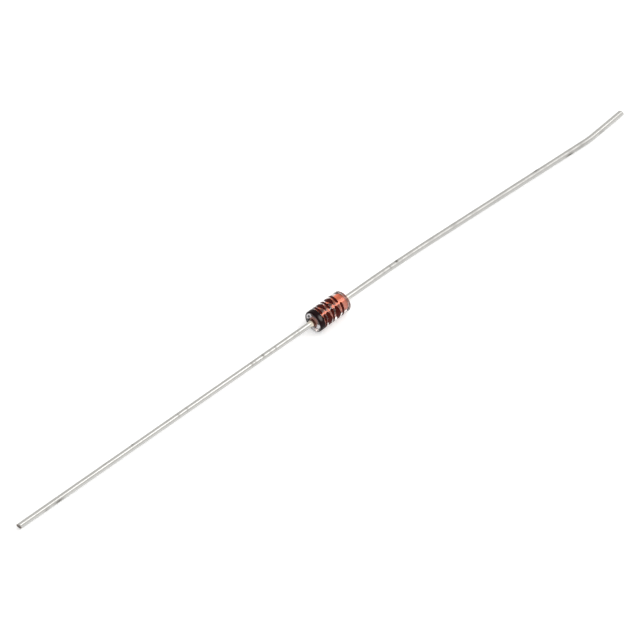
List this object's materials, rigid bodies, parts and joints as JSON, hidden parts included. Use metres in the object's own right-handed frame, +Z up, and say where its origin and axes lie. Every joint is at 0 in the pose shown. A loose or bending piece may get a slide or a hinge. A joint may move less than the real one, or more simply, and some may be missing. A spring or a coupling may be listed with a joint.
{
  "type": "zener diode",
  "caption": "Small axial zener diode: clear glass sleeve fused on copper studs with a silicon die between them, black cathode band, tinned wire leads, slightly bent as handled.",
  "frame": {"origin": "on the surface that the diode lies on, straight below the middle of the glass sleeve", "axes": "+X along the glass sleeve from the cathode to the anode, +Z up"},
  "size_m": [0.0634, 0.0026, 0.0018],
  "materials": {
    "clear_glass": "clear fire-polished glass",
    "copper_clad": "orange borated copper cladding, seen through the glass",
    "silicon": "dark polished silicon with sawn sides",
    "silver": "dull plated silver",
    "tinned_wire": "bright tinned wire with fine draw marks and scuffs",
    "black_ink": "black baked ink"
  },
  "bodies": {
    "root": {"glass_sleeve": "clear_glass", "cathode_stud": "copper_clad", "anode_stud": "copper_clad", "zener_die": "silicon", "contact_bump": "silver", "cathode_lead": "tinned_wire", "anode_lead": "tinned_wire", "cathode_band": "black_ink"}
  },
  "joints": []
}
